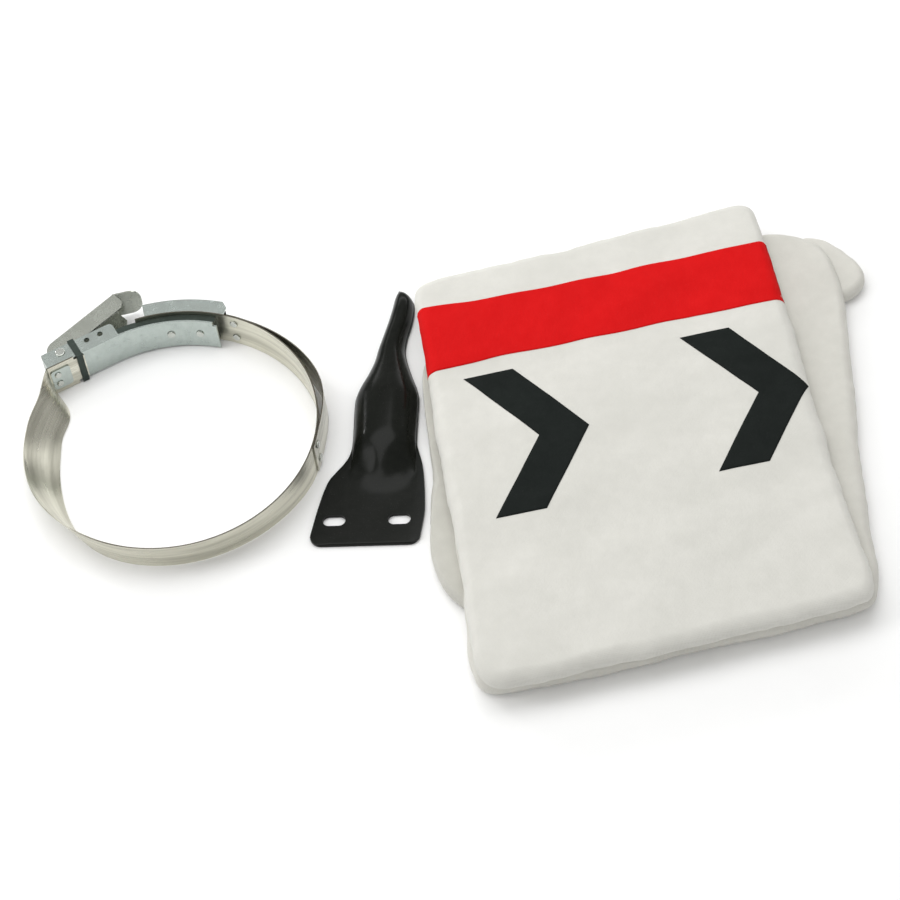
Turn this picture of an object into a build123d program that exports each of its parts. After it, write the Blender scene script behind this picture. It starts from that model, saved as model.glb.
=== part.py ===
from build123d import *
import math
import os

# Filter-bag kit of a small dust collector, in millimetres, +Z up.
# Three loose items lie on one flat surface: a band clamp with a quick-release latch,
# a stamped hanger bracket and a folded cloth filter bag.
# The origin is under the middle of the whole kit, on that surface.
# The rows of the bracket's slots run along X.

# ---------------------------------------------------------------- driving sizes

# Band clamp: strap
ring_radius = 93.0             # outside of the strap's top edge
strap_width = 25.4
strap_thick = 0.8
strap_straight = 46.0          # the left end is straight from here, left of tangency
strap_lean = [                 # (degrees round the ring, degrees from upright), top edge out
    (346, 0), (334, 3), (318, 8), (300, 11), (282, 12), (264, 12), (247, 13), (232, 19),
    (218, 31), (204, 43), (190, 50), (178, 50), (169, 46),
]
end_lean = [(0.3, 44), (0.6, 33), (0.85, 15)]  # (part of the way to the end, degrees)

# Band clamp: rail, the channel that bridges the ring's gap
rail_inset = 7.9               # the rail's inner face lies this far inside the ring
rail_offset = ring_radius - rail_inset
rail_thick = 1.2
rail_depth = 12.3              # how far the flanges stand outward
rail_height = 23.4             # outside of both flanges
rail_left = 45.0               # straight part, left of the point of tangency
rail_flange_right = 5.0        # the flanges end this far right of it
rail_tongue_angle = 46.0       # the curved tongue goes on for this many degrees
hole_pitch = 9.3               # adjusting holes
hole_radius = 1.9
hole_count = 4
pivot_along = 32.8             # lever pivot, left of the point of tangency
pivot_out = 7.9                # lever pivot, outward of the rail's inner face
spacer_from, spacer_to = 118.0, 76.5   # degrees round the ring
spacer_height = 20.4

# Band clamp: lever, link and pins
lever_gap = 0.3                # to the rail's flanges, each side
lever_thick = 1.2
lever_web_out = 11.6           # pivot to the outside of the lever's web
lever_depth = 12.6             # from the web's outside to the flanges' free edge
lever_flange_end = 55.0        # pivot to the end of the flanges
lever_ear_radius = 6.0
lever_notch = 7.0              # the web starts this far from the pivot
lever_raised = 16.7            # degrees from parallel with the rail, as it lies
tab_length = 17.0
tab_turn = -33.0               # degrees, the thumb tab against the lever
tab_corner = 8.0
rib_radius = 0.8
pivot_pin_radius = 1.8
pin_head_radius = 3.3
pin_head_height = 0.9
hook_pin_out = 14.0            # pivot to the hook pin, along the lever
hook_pin_radius = 1.5
hook_eye_radius = 3.1
hook_thick = 1.5
hook_width = 14.0              # along Z
hook_over_pin = 4.4            # hook pin to the outside of the hook's back
hook_claw_end = 3.2            # the claw's end, outward of the rail's inner face, when shut
shut_angle = -9.0              # lever's turn from how it lies to shut, degrees
fit_gap = 0.1                  # a pin in its hole

# Band clamp: keeper, catch, saddle, outer strap and rivets
keeper_width = 4.2
keeper_thick = 0.8
keeper_at = 23.5               # its middle, left of the point of tangency
strap_end_narrow = 2.6         # the strap narrows by this on each edge inside the keeper
catch_at = 40.2                # studs' middle, left of the point of tangency
catch_out = 5.2                # studs' end, outward of the rail's inner face
catch_spread = 4.0             # studs' distance from the strap's middle line
catch_plate_length = 13.0
catch_plate_width = 17.0
catch_plate_thick = 0.8
stud_radius = 1.3
stud_head_radius = 2.3
saddle_from, saddle_to = 105.0, 73.5   # degrees round the ring
saddle_depth = 10.0
saddle_thick = 1.2
saddle_height = 24.6
outer_strap_to = -4.0          # degrees round the ring, where it is riveted down
outer_strap_bow = 4.6          # how far it springs off the ring
rivet_radius = 2.6
rivet_shank = 1.4
rivet_head = 0.9

# Hanger bracket: x from the middle of the slots, y from their row
plate_thick = 2.5
plate_left = 35.0
plate_right = 35.5
plate_corner = 7.0
slot_spacing = 40.0
slot_length = 14.0
slot_width = 8.0
slot_to_edge = 18.0            # slot row to the plate's free edge
neck_wall = 2.5
neck_width = 39.5
neck_height = 15.0
neck_middle = 8.2              # neck's middle, right of the slots' middle
neck_rise = 22.0               # where the neck starts to rise
neck_full = 56.0               # where it has its full section
neck_taper = 92.0              # where it starts to narrow
neck_steps = 4                 # sections from one of the neck's stations to the next
waist_at = 131.0
waist_width = 17.5
waist_height = 11.0
tip_at = 175.0
tip_width = 14.0
tip_height = 8.0
tip_middle = 15.3
tip_closed = 10.0              # the hollow under the neck stops this far from the tip

# Folded bag: the top panel's own axes, +Y along its length
bag_left = 116.0
bag_right = 111.0
bag_top = 157.0
bag_bottom = 157.0
bag_skew = 6.0                 # the top fold rises this much at the right, drops at the left
bottom_skew = 7.0              # the bottom rises this much at the right
bag_corner = 16.0
bag_top_thick = 13.0
bag_lower_thick = 13.0
bag_rounding = 5.5
layer_gap = 0.3
lower_left_out = 10.0          # the lower layers stick out on the left
lower_right_out = 41.0         # and at the top right
cuff_reach = 17.0
cuff_width = 50.0
cuff_thick = 10.0
side_fold_reach = 11.0
side_fold_width = 96.0
side_fold_middle = -34.0
side_fold_thick = 10.0
bag_turn = 12.0                # degrees, the bag against the slots' row
ink_thick = 0.4
ink_margin = 6.5               # printed band to the packet's sides
band_width = 49.0
band_from_top = 37.0           # top fold to the band
mark_height = 110.0
mark_width = 68.0
mark_stroke = 31.0
mark_drop = 7.0                # band to the marks
mark_left_at = -95.0
mark_right_at = 41.0

# Where the items lie, before the kit's middle is brought to the origin
clamp_side = -74.5              # the ring's right side
clamp_at = (clamp_side - ring_radius, 17.0)
bracket_at = (-43.8, -42.2)    # the slots' middle
bag_at = (121.2, 1.9)
rail_direction = 30.8          # degrees, the rail's straight part

# ---------------------------------------------------------------- helpers

os.makedirs("parts", exist_ok=True)


def prism(outline, low, high):
    """A flat outline in XY, solid from low to high."""
    return Pos(0, 0, low) * extrude(outline, amount=high - low)


def box(x0, x1, y0, y1, z0, z1):
    return Pos((x0 + x1) / 2, (y0 + y1) / 2, (z0 + z1) / 2) * Box(x1 - x0, y1 - y0, z1 - z0)


def rod(radius, low, high):
    return Pos(0, 0, (low + high) / 2) * Cylinder(radius, high - low)


def polar(radius, angle):
    return (radius * math.cos(math.radians(angle)), radius * math.sin(math.radians(angle)))


def facing(origin, direction):
    """The placement that turns +Z to direction, at origin."""
    return Plane(origin=origin, z_dir=direction).location


def domed(radius, height, side):
    """A low round head on z = 0, on the +Z side or on the -Z side."""
    head = rod(radius, min(0, side * height), max(0, side * height))
    rim = head.faces().sort_by(Axis.Z)[-1 if side > 0 else 0].edges()
    return fillet(rim, height * 0.6)


def joined(shapes):
    whole = shapes[0]
    for shape in shapes[1:]:
        whole = whole + shape
    return whole


# ---------------------------------------------------------------- band clamp
# It is drawn with its ring centre at the origin and the rail's straight part along X,
# above the centre.

mid_z = strap_width / 2
strap_inner = ring_radius - strap_thick
rail_low = mid_z - rail_height / 2
rail_high = mid_z + rail_height / 2
pivot = (-pivot_along, rail_offset + pivot_out)
strap_end_out = rail_offset - 0.2
strap_end_right = keeper_at - keeper_width / 2 - 1.0
saddle_inner = ring_radius + 0.1
outer_inner = ring_radius + 0.1
lever_low = rail_low + rail_thick + lever_gap
lever_high = rail_high - rail_thick - lever_gap
lever_place = Pos(pivot[0], pivot[1], 0) * Rot(0, 0, lever_raised)


def in_clamp(angle_in_kit):
    """An angle round the ring, from the kit's frame to the clamp's own."""
    return angle_in_kit - rail_direction


def ring_band(inner, outer, start, sweep, low, high):
    """An upright strip of a ring: start in degrees, sweep clockwise."""
    end = start - sweep
    middle = start - sweep / 2
    with BuildSketch() as section:
        with BuildLine():
            outside = ThreePointArc(polar(outer, start), polar(outer, middle), polar(outer, end))
            inside = ThreePointArc(polar(inner, start), polar(inner, middle), polar(inner, end))
            Line(outside @ 0, inside @ 0)
            Line(outside @ 1, inside @ 1)
        make_face()
    return prism(section.sketch, low, high)


# Rivets point inward: (angle, height, radius of the outer face, grip)
saddle_right_end = in_clamp(saddle_from)
saddle_sweep = saddle_from - saddle_to
saddle_rivet_sites = [
    (saddle_right_end - saddle_sweep * part, mid_z, saddle_inner + saddle_depth,
     saddle_inner + saddle_depth - rail_offset)
    for part in (0.3, 0.7)
]
outer_rivet_sites = [
    (angle, mid_z + side * 6.5, outer_inner + strap_thick, outer_inner + strap_thick - strap_inner)
    for angle in (in_clamp(saddle_to) - 4.5, in_clamp(outer_strap_to) - 4.0)
    for side in (-1, 1)
]


def rivet(angle, height, radius, grip):
    """A round-headed rivet with its head outside and its tail inside the ring."""
    out = polar(1.0, angle)
    start = polar(radius + 0.15, angle)
    shank = rod(rivet_shank, 0, grip + 0.3)
    head = domed(rivet_radius, rivet_head, -1)
    tail = Pos(0, 0, grip + 0.3) * domed(rivet_radius, rivet_head, 1)
    return facing((start[0], start[1], height), (-out[0], -out[1], 0)) * (shank + head + tail)


def rivet_hole(angle, height, radius, grip):
    out = polar(1.0, angle)
    start = polar(radius, angle)
    hole = rod(rivet_shank + fit_gap, -2, grip + 2)
    return facing((start[0], start[1], height), (-out[0], -out[1], 0)) * hole


def rivets(sites):
    return joined([rivet(*site) for site in sites])


def drilled(shape, sites):
    for site in sites:
        shape = shape - rivet_hole(*site)
    return shape


# The strap's left end: a line from where it leaves the circle to the rail's end, then a
# bend, then the straight stretch along the rail.
corner_radius = math.hypot(strap_straight, strap_end_out)
corner_angle = math.degrees(math.atan2(strap_end_out, -strap_straight))
leave_angle = corner_angle + math.degrees(math.acos(ring_radius / corner_radius))


def lean_section(top, out, lean):
    """The strap's section under a point of its top edge's line, leaning outward."""
    run = math.sin(math.radians(lean))
    rise = math.cos(math.radians(lean))

    def at(outward, height):
        return (top[0] + out[0] * outward, top[1] + out[1] * outward, height)

    corners = [
        at(-strap_width * run, 0),
        at(0, strap_width * rise),
        at(-strap_thick * rise, strap_width * rise + strap_thick * run),
        at(-strap_width * run - strap_thick * rise, strap_thick * run),
    ]
    return Face(Wire.make_polygon(corners, close=True))


def strap_ring():
    """The open ring: upright at the right, leaning out at the left, with a straight end."""
    start = in_clamp(saddle_from + 4.0)
    lean_start = in_clamp(strap_lean[0][0] - 360)
    upright = ring_band(strap_inner, ring_radius, start, start - lean_start, 0, strap_width)
    sections = []
    for angle, lean in strap_lean:
        out = polar(1.0, in_clamp(angle))
        sections.append(lean_section(polar(ring_radius, in_clamp(angle)), out, lean))
    leave = polar(ring_radius, leave_angle)
    out = polar(1.0, leave_angle)
    corner = (-strap_straight, strap_end_out)
    for part, lean in end_lean:
        x = leave[0] + (corner[0] - leave[0]) * part
        y = leave[1] + (corner[1] - leave[1]) * part
        sections.append(lean_section((x, y), out, lean))
    turn = math.radians(leave_angle - 90)
    bend = strap_thick * math.tan(turn / 2)
    corner_in = (-strap_straight + bend, strap_end_out - strap_thick)
    mitre = [(*corner, 0), (*corner, strap_width), (*corner_in, strap_width), (*corner_in, 0)]
    sections.append(Face(Wire.make_polygon(mitre, close=True)))
    leaning = loft(sections)
    with BuildSketch() as section:
        with BuildLine():
            Polyline(
                corner,
                (-strap_end_right, strap_end_out),
                (-strap_end_right, strap_end_out - strap_thick),
                corner_in,
                close=True,
            )
        make_face()
    end = prism(section.sketch, 0, strap_width)
    narrow_from = -keeper_at - keeper_width / 2 - 2.0
    for low, high in ((-1, strap_end_narrow), (strap_width - strap_end_narrow, strap_width + 1)):
        end -= box(narrow_from, 0, strap_end_out - 3, strap_end_out + 1, low, high)
    ring = upright + leaning + end
    for side in (-1, 1):
        stud_at = (-catch_at, strap_end_out, mid_z + side * catch_spread)
        ring -= facing(stud_at, (0, 1, 0)) * rod(stud_radius + fit_gap, -4, 4)
    return drilled(ring, saddle_rivet_sites + outer_rivet_sites)


def latch_rail():
    """A channel with outward flanges, and its curved tongue inside the ring's right end."""
    inner = rail_offset
    outer = rail_offset + rail_thick
    rail = box(-rail_left, 0.05, inner, outer, rail_low, rail_high)
    rail += ring_band(inner, outer, 90, rail_tongue_angle, rail_low, rail_high)
    for low in (rail_low, rail_high - rail_thick):
        flange = box(-rail_left, rail_flange_right, inner, inner + rail_depth, low, low + rail_thick)
        flange = fillet(flange.edges().filter_by(Axis.Z).group_by(Axis.Y)[-1], 3.0)
        rail += flange - rod(inner + rail_thick / 2, low - 1, low + rail_thick + 1)
    for i in range(hole_count):
        at = Pos(-pivot_along + i * hole_pitch, pivot[1], 0)
        rail -= at * rod(hole_radius, rail_low - 1, rail_high + 1)
    # The studs slide in a slot as the clamp is drawn shut.
    slot_x = -catch_at + stud_radius + 0.4
    slot_z = catch_spread + stud_radius + 0.6
    rail -= box(slot_x - 9.0, slot_x, inner - 1, outer + 1, mid_z - slot_z, mid_z + slot_z)
    # A small notch in the tongue's free end.
    end = 90 - rail_tongue_angle
    notch_at = polar(inner, end)
    rail -= Pos(notch_at[0], notch_at[1], rail_high) * Rot(0, 0, end) * Box(6, 5, 6)
    return drilled(rail, saddle_rivet_sites)


def tongue_spacer():
    """A dark strip that fills the gap between the tongue and the ring's right end."""
    gap = 0.1
    inner = rail_offset + rail_thick + gap
    start = in_clamp(spacer_from)
    low = mid_z - spacer_height / 2
    spacer = ring_band(inner, strap_inner - gap, start, spacer_from - spacer_to, low, low + spacer_height)
    return drilled(spacer, saddle_rivet_sites)


def keeper_loop():
    """A flat loop round the rail and the strap's narrow end, open on the lever's side."""
    gap = 0.15
    t = keeper_thick
    inner = strap_end_out - strap_thick - gap
    outer = rail_offset + rail_depth + gap
    x0 = -keeper_at - keeper_width / 2
    x1 = x0 + keeper_width
    low = rail_low - gap - t
    high = rail_high + gap + t
    back = box(x0, x1, inner - t, inner, low, high)
    top = box(x0, x1, inner - t, outer + t, high - t, high)
    bottom = box(x0, x1, inner - t, outer + t, low, low + t)
    lip_top = box(x0, x1, outer, outer + t, high - 1.9, high)
    lip_bottom = box(x0, x1, outer, outer + t, low, low + 1.9)
    return back + top + bottom + lip_top + lip_bottom


def catch_plate():
    """A doubler on the inside of the strap's straight end, behind the studs."""
    gap = 0.05
    outer = strap_end_out - strap_thick - gap
    x0 = -catch_at - 4.4
    plate = box(
        x0, x0 + catch_plate_length, outer - catch_plate_thick, outer,
        mid_z - catch_plate_width / 2, mid_z + catch_plate_width / 2,
    )
    plate = fillet(plate.edges().filter_by(Axis.Y), 2.0)
    for side in (-1, 1):
        stud_at = (-catch_at, outer, mid_z + side * catch_spread)
        plate -= facing(stud_at, (0, 1, 0)) * rod(stud_radius + fit_gap, -4, 4)
    return plate


def catch_studs():
    """Two studs through plate, strap and rail slot, which the draw hook pulls."""
    foot = strap_end_out - strap_thick - catch_plate_thick - 0.05
    long = rail_offset + catch_out - foot
    stud = rod(stud_radius, 0, long) + domed(stud_head_radius, 0.9, -1)
    pair = [
        facing((-catch_at, foot, mid_z + side * catch_spread), (0, 1, 0)) * stud
        for side in (-1, 1)
    ]
    return joined(pair)


def rail_saddle():
    """A curved channel over the ring's right end, its flanges turned towards the ring."""
    low = mid_z - saddle_height / 2
    high = mid_z + saddle_height / 2
    far = saddle_inner + saddle_depth
    start = saddle_right_end
    saddle = ring_band(far - saddle_thick, far, start, saddle_sweep, low, high)
    saddle += ring_band(saddle_inner, far, start, saddle_sweep, high - saddle_thick, high)
    saddle += ring_band(saddle_inner, far, start, saddle_sweep, low, low + saddle_thick)
    for angle, height, radius, grip in saddle_rivet_sites:
        # A pressed boss brings the web down to the strap round each rivet.
        out = polar(1.0, angle)
        foot = polar(saddle_inner, angle)
        saddle += facing((foot[0], foot[1], height), (out[0], out[1], 0)) * rod(4.4, 0, saddle_depth - 0.4)
    # The right end is cut off at a slant on the outer side.
    end = in_clamp(saddle_to)
    cut_at = polar(far, end)
    saddle -= Pos(cut_at[0], cut_at[1], mid_z) * Rot(0, 0, end - 45) * Box(5.5, 12, 60)
    return drilled(saddle, saddle_rivet_sites)


def outer_strap():
    """A second strap outside the ring, bowed off it between its two riveted ends."""
    start = in_clamp(saddle_to) - 1.5
    end = in_clamp(outer_strap_to) - 8.0
    flat = 8.0

    def edge(radius):
        """Down on the ring at both ends, lifted most a little past the middle."""
        points = []
        for part, lift in ((0, 0), (0.25, 0.45), (0.5, 0.95), (0.68, 1.0), (0.86, 0.4), (1, 0)):
            angle = (start - flat) + (end + flat - start + flat) * part
            points.append(polar(radius + outer_strap_bow * lift, angle))
        return points

    with BuildSketch() as section:
        with BuildLine():
            for radius in (outer_inner, outer_inner + strap_thick):
                bow = edge(radius)
                ThreePointArc(polar(radius, start), polar(radius, start - flat / 2), bow[0])
                Spline(*bow)
                ThreePointArc(bow[-1], polar(radius, end + flat / 2), polar(radius, end))
            Line(polar(outer_inner, start), polar(outer_inner + strap_thick, start))
            Line(polar(outer_inner, end), polar(outer_inner + strap_thick, end))
        make_face()
    strip = prism(section.sketch, 0.4, strap_width - 0.4)
    return drilled(strip, outer_rivet_sites)


def pin_with_heads(radius, low, high):
    pin = rod(radius, low, high)
    pin += Pos(0, 0, high) * domed(pin_head_radius, pin_head_height, 1)
    return pin + Pos(0, 0, low) * domed(pin_head_radius, pin_head_height, -1)


def lever_pin():
    return Pos(pivot[0], pivot[1], 0) * pin_with_heads(pivot_pin_radius, rail_low, rail_high)


def lever():
    """A channel round its pivot at the origin: web outward (+Y), thumb tab at +X."""
    web_in = lever_web_out - lever_thick
    free_edge = lever_web_out - lever_depth
    ear = lever_ear_radius
    with BuildSketch() as side:
        with BuildLine():
            round_end = ThreePointArc((2.0, lever_web_out), (-ear, 0.5), (1.0, -ear + 0.4))
            Polyline(
                round_end @ 1,
                (lever_flange_end * 0.28, free_edge),
                (lever_flange_end - 4.0, free_edge),
                (lever_flange_end, free_edge + 4.0),
                (lever_flange_end, lever_web_out),
                round_end @ 0,
            )
        make_face()
    body = prism(side.sketch, lever_low, lever_low + lever_thick)
    body += prism(side.sketch, lever_high - lever_thick, lever_high)
    body += box(lever_notch, lever_flange_end, web_in, lever_web_out, lever_low, lever_high)
    tab = box(-0.8, tab_length, -lever_thick, 0, lever_low, lever_high)
    tab = fillet(tab.edges().filter_by(Axis.Y).group_by(Axis.X)[-1], tab_corner)
    body += Pos(lever_flange_end, lever_web_out, 0) * Rot(0, 0, tab_turn) * tab
    # A window in the web lets the draw hook through.
    window_low = mid_z - hook_width / 2 - 0.5
    window_high = mid_z + hook_width / 2 + 0.5
    window_end = hook_pin_out + hook_eye_radius + 3.6
    body -= box(0, window_end, web_in - 1, lever_web_out + 1, window_low, window_high)
    # Two grip ribs across the web.
    for x in (lever_flange_end - 14.0, lever_flange_end - 9.0):
        body += Pos(x, lever_web_out - 0.2, 0) * rod(rib_radius, mid_z - 6.5, mid_z + 6.5)
    body -= rod(pivot_pin_radius + fit_gap, lever_low - 1, lever_high + 1)
    body -= Pos(hook_pin_out, 0, 0) * rod(hook_pin_radius + fit_gap, lever_low - 1, lever_high + 1)
    return lever_place * body


def hook_pin():
    pin = rod(hook_pin_radius, lever_low, lever_high)
    return lever_place * Pos(hook_pin_out, 0, 0) * pin


def draw_hook():
    """A strip with an eye round the hook pin, a straight back and an inward claw."""
    eye = lever_place * Pos(hook_pin_out, 0, 0)
    # Where the pin is when the lever is shut fixes the hook's length.
    shut = math.radians(lever_raised + shut_angle)
    shut_x = pivot[0] + hook_pin_out * math.cos(shut)
    shut_y = pivot[1] + hook_pin_out * math.sin(shut)
    claw_right = -catch_at - stud_radius - 0.3 - shut_x
    claw_low = rail_offset + hook_claw_end - shut_y
    low = mid_z - hook_width / 2
    high = mid_z + hook_width / 2
    back_in = hook_over_pin - hook_thick
    strip = rod(hook_eye_radius, low, high)
    strip += box(claw_right - hook_thick, 0, back_in, hook_over_pin, low, high)
    strip += box(claw_right - hook_thick, claw_right, claw_low, hook_over_pin, low, high)
    strip += box(-1.2, 1.2, 0, hook_over_pin, low, high)
    strip -= rod(hook_pin_radius + fit_gap, -1, strap_width + 1)
    return Pos(eye.position.X, eye.position.Y, 0) * strip


# ---------------------------------------------------------------- bracket

def arch(y, middle, width, height, wall):
    """A section across the neck at y: flat below, round above, inset by a wall."""
    half = width / 2 - wall
    tall = height - wall
    bottom = -1.0 if wall else 0.0
    plane = Plane(origin=(middle, y, 0), x_dir=(1, 0, 0), z_dir=(0, -1, 0))
    shoulder = tall * 0.45
    with BuildSketch(plane) as section:
        with BuildLine():
            crown = ThreePointArc((-half * 0.86, shoulder), (0, tall), (half * 0.86, shoulder))
            Polyline(crown @ 1, (half, bottom), (-half, bottom), crown @ 0)
        make_face()
    return section.sketch


def neck_stations():
    """(y, middle, width, height) from the rise out of the plate to the tip."""
    early = (neck_taper + waist_at) / 2
    late = (waist_at + tip_at) / 2
    return [
        (neck_rise, neck_middle, neck_width * 0.6, plate_thick + 0.8),
        ((neck_rise + neck_full) / 2, neck_middle, neck_width * 0.93, neck_height * 0.78),
        (neck_full, neck_middle, neck_width, neck_height),
        ((neck_full + neck_taper) / 2, neck_middle, neck_width, neck_height),
        (neck_taper, neck_middle, neck_width, neck_height),
        (early, neck_middle + 0.8, (neck_width + waist_width) / 2 - 0.6, (neck_height + waist_height) / 2),
        (waist_at, neck_middle + 0.8, waist_width, waist_height),
        (late, (neck_middle + tip_middle) / 2 + 1.6, (waist_width + tip_width) / 2, tip_height + 1.2),
        (tip_at, tip_middle, tip_width, tip_height),
    ]


def between(before, start, end, after, part):
    """A smooth curve's value part of the way from start to end."""
    bend = 2 * before - 5 * start + 4 * end - after
    twist = 3 * start - before - 3 * end + after
    return (2 * start + (end - before) * part + bend * part ** 2 + twist * part ** 3) / 2


def refined(stations):
    """The same stations with smooth steps between them."""
    out = []
    for i in range(len(stations) - 1):
        near = [stations[max(0, min(len(stations) - 1, i + k))] for k in (-1, 0, 1, 2)]
        for step in range(neck_steps):
            part = step / neck_steps
            y = near[1][0] + (near[2][0] - near[1][0]) * part
            out.append((y, *(between(*values, part) for values in list(zip(*near))[1:])))
    return out + [stations[-1]]


def neck_solid(wall):
    stations = neck_stations()
    if wall:
        first = stations[0]
        last = stations[-1]
        stations[0] = (first[0] + wall * 1.5, first[1], first[2], first[3])
        stations[-1] = (last[0] - tip_closed, last[1] + 0.3, last[2] + 0.3, last[3] + 0.3)
    stations = refined(stations)
    sections = [arch(y, middle, width, height, wall) for y, middle, width, height in stations]
    return loft(sections, ruled=True)


def hanger_bracket():
    """One stamping: foot plate, formed neck and round tip."""
    half = slot_spacing / 2
    neck_left = neck_middle - neck_width / 2
    neck_right = neck_middle + neck_width / 2
    with BuildSketch() as outline:
        with BuildLine():
            Polyline(
                (-plate_left, -slot_to_edge),
                (plate_right - 3.0, -slot_to_edge),
                (plate_right, neck_rise * 0.4),
                (plate_right - 2.5, neck_full - 15.0),
                (neck_right, neck_full + 2.0),
                (neck_left, neck_full + 2.0),
                (neck_left - 2.4, neck_full - 9.0),
                (-plate_left + 10.5, neck_rise + 10.0),
                close=True,
            )
        make_face()
        fillet(outline.vertices().group_by(Axis.Y)[0], plate_corner)
        inner = [v for v in outline.vertices() if neck_rise < v.Y < neck_full]
        fillet(inner, 5.0)
    body = prism(outline.sketch, 0, plate_thick) + neck_solid(0) - neck_solid(neck_wall)
    for x in (-half, half):
        with BuildSketch() as slot:
            SlotOverall(slot_length, slot_width)
        body -= Pos(x, 0, -1) * extrude(slot.sketch, amount=plate_thick + 2)
    # The tip is rounded off in plan.
    tip_radius = tip_width / 2
    corner = box(-tip_radius - 5, tip_radius + 5, 0, tip_radius + 5, -1, tip_height + 5)
    corner -= rod(tip_radius, -2, tip_height + 6)
    return body - Pos(tip_middle, tip_at - tip_radius, 0) * corner


# ---------------------------------------------------------------- folded bag

top_low = bag_lower_thick + layer_gap
top_high = top_low + bag_top_thick
lower_right = bag_right + lower_right_out


def pad(points, corner, low, high, rounding):
    """A flat pad of an outline, with round corners and round edges."""
    with BuildSketch() as outline:
        with BuildLine():
            Polyline(*points, close=True)
        make_face()
        fillet(outline.vertices(), corner)
    slab = prism(outline.sketch, low, high)
    faces = slab.faces().sort_by(Axis.Z)
    return fillet(faces[0].edges() + faces[-1].edges(), rounding)


def bag_top_layers():
    points = [
        (-bag_left, -bag_bottom),
        (bag_right, -bag_bottom + bottom_skew),
        (bag_right, bag_top + bag_skew),
        (-bag_left + 3.0, bag_top - bag_skew),
    ]
    return pad(points, bag_corner, top_low, top_high, bag_rounding)


def bag_lower_layers():
    points = [
        (-bag_left - lower_left_out, -bag_bottom + 6.0),
        (bag_right, -bag_bottom + bottom_skew + 2.0),
        (lower_right, bag_top * 0.54),
        (lower_right - 3.0, bag_top * 0.86),
        (bag_right - 6.0, bag_top - 4.0),
        (-bag_left + 6.0, bag_top - bag_skew - 6.0),
    ]
    return pad(points, bag_corner * 0.7, 0, bag_lower_thick, bag_rounding)


def bag_mouth_cuff():
    start = lower_right + layer_gap
    middle = bag_top * 0.7
    half = cuff_width / 2
    points = [
        (start, middle - half * 0.9),
        (start + cuff_reach * 0.45, middle - half * 0.95),
        (start + cuff_reach, middle - half * 0.35),
        (start + cuff_reach * 0.75, middle + half * 0.4),
        (start, middle + half * 0.8),
    ]
    return pad(points, 3.0, 0, cuff_thick, 2.4)


def side_edge(y):
    """The lower layers' left edge at y."""
    foot = (-bag_left - lower_left_out, -bag_bottom + 6.0)
    head = (-bag_left + 6.0, bag_top - bag_skew - 6.0)
    return foot[0] + (head[0] - foot[0]) * (y - foot[1]) / (head[1] - foot[1])


def bag_side_fold():
    half = side_fold_width / 2
    ends = (side_fold_middle - half, side_fold_middle + half)
    points = [
        (side_edge(ends[0]) - layer_gap, ends[0]),
        (side_edge(ends[0] + 20) - side_fold_reach * 0.8, ends[0] + 20),
        (side_edge(side_fold_middle) - side_fold_reach, side_fold_middle),
        (side_edge(ends[1] - 30) - side_fold_reach * 0.6, ends[1] - 30),
        (side_edge(ends[1]) - layer_gap, ends[1]),
    ]
    return pad(points, 1.2, 0, side_fold_thick, 1.0)


band_high = bag_top - band_from_top
band_low = band_high - band_width
mark_high = band_low - mark_drop
mark_low = mark_high - mark_height


def print_band():
    left = -bag_left + ink_margin + 3.0
    return box(left, bag_right - ink_margin, band_low, band_high, top_high, top_high + ink_thick)


def chevron(left):
    """A bold arrowhead that points along +X."""
    middle = (mark_high + mark_low) / 2
    right = left + mark_width
    with BuildSketch() as mark:
        with BuildLine():
            Polyline(
                (left, mark_high),
                (left + mark_stroke, mark_high),
                (right, middle),
                (left + mark_stroke, mark_low),
                (left, mark_low),
                (right - mark_stroke, middle),
                close=True,
            )
        make_face()
    return prism(mark.sketch, top_high, top_high + ink_thick)


def print_mark_left():
    return chevron(mark_left_at)


def print_mark_right():
    return chevron(mark_right_at)


# ---------------------------------------------------------------- the kit

clamp_place = Pos(clamp_at[0], clamp_at[1], 0) * Rot(0, 0, rail_direction)
bracket_place = Pos(bracket_at[0], bracket_at[1], 0)
bag_place = Pos(bag_at[0], bag_at[1], 0) * Rot(0, 0, bag_turn)

clamp_parts = (
    strap_ring, outer_strap, latch_rail, tongue_spacer, keeper_loop, catch_plate, catch_studs,
    rail_saddle, lever_pin, lever, hook_pin, draw_hook,
)
bag_parts = (
    bag_top_layers, bag_lower_layers, bag_mouth_cuff, bag_side_fold,
    print_band, print_mark_left, print_mark_right,
)

placed = {make.__name__: clamp_place * make() for make in clamp_parts}
placed["outer_strap_rivets"] = clamp_place * rivets(outer_rivet_sites)
placed["saddle_rivets"] = clamp_place * rivets(saddle_rivet_sites)
placed["hanger_bracket"] = bracket_place * hanger_bracket()
placed.update({make.__name__: bag_place * make() for make in bag_parts})

extent = Compound(children=[solid for part in placed.values() for solid in part.solids()])
extent = extent.bounding_box()
to_origin = Pos(-(extent.min.X + extent.max.X) / 2, -(extent.min.Y + extent.max.Y) / 2, 0)

for name, part in placed.items():
    solids = (to_origin * part).solids()
    whole = Compound(children=solids) if len(solids) > 1 else solids[0]
    whole.label = name
    export_step(whole, f"parts/{name}.step")

print("kit size", extent.size, "moved by", to_origin.position)
for name, place in (
    ("ring centre", clamp_place),
    ("lever pivot", clamp_place * Pos(pivot[0], pivot[1], 0)),
    ("hook pin", clamp_place * lever_place * Pos(hook_pin_out, 0, 0)),
    ("slots' middle", bracket_place),
    ("bag's middle", bag_place),
):
    print(name, (to_origin * place).position)
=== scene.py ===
import math

import bmesh
import bpy
from mathutils import Matrix, Vector, noise
from mathutils.bvhtree import BVHTree


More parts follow.
